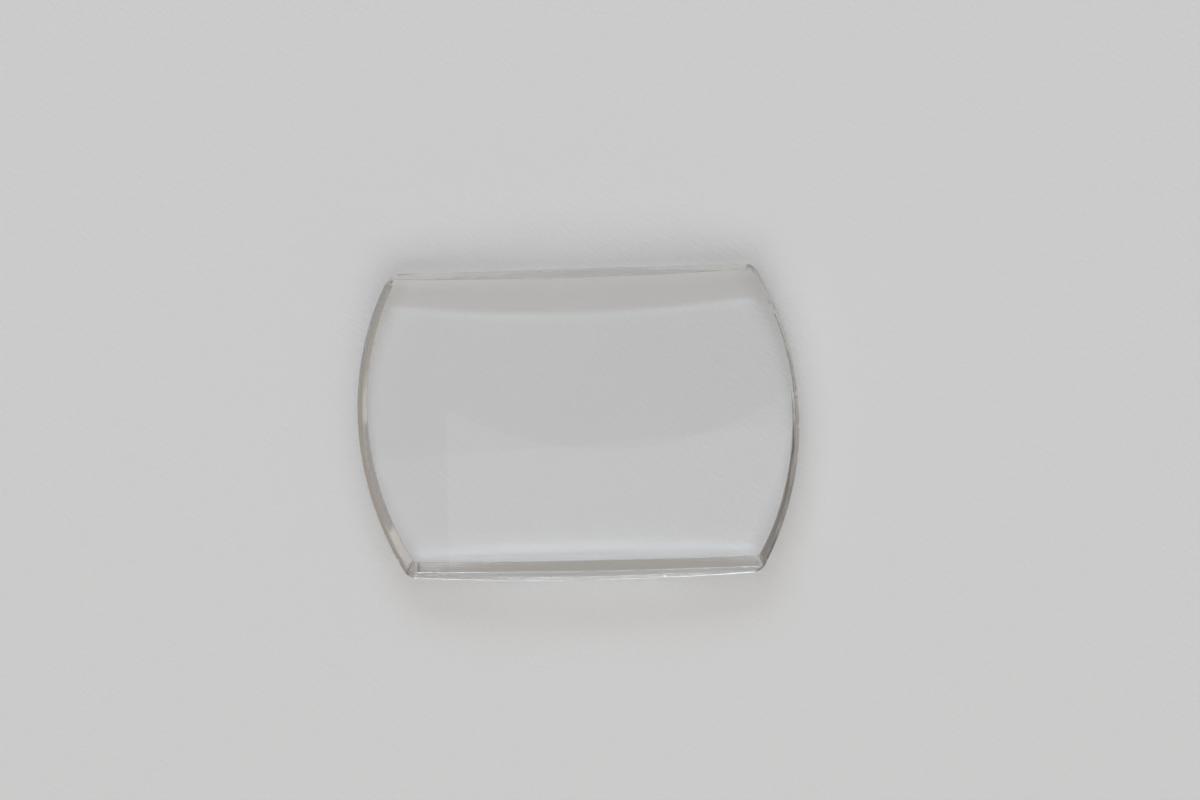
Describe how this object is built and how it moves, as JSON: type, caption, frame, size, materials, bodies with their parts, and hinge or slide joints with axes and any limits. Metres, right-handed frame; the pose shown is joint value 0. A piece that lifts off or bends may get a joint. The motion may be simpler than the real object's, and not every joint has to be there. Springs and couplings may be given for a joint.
{
  "type": "watch glass",
  "caption": "Clear barrel-shaped wristwatch glass with two straight sides, two bowed ends, a cylindrical dome, a flat base and polished bevels below and above a short upright wall.",
  "frame": {"origin": "centre of the flat base", "axes": "+X along the length of the glass (towards the 12 o'clock end), +Y across its width, +Z out of the dome"},
  "size_m": [0.03, 0.021, 0.0039],
  "materials": {
    "clear_glass": "polished, clear, colourless"
  },
  "bodies": {
    "root": {"crystal": "clear_glass"}
  },
  "joints": []
}
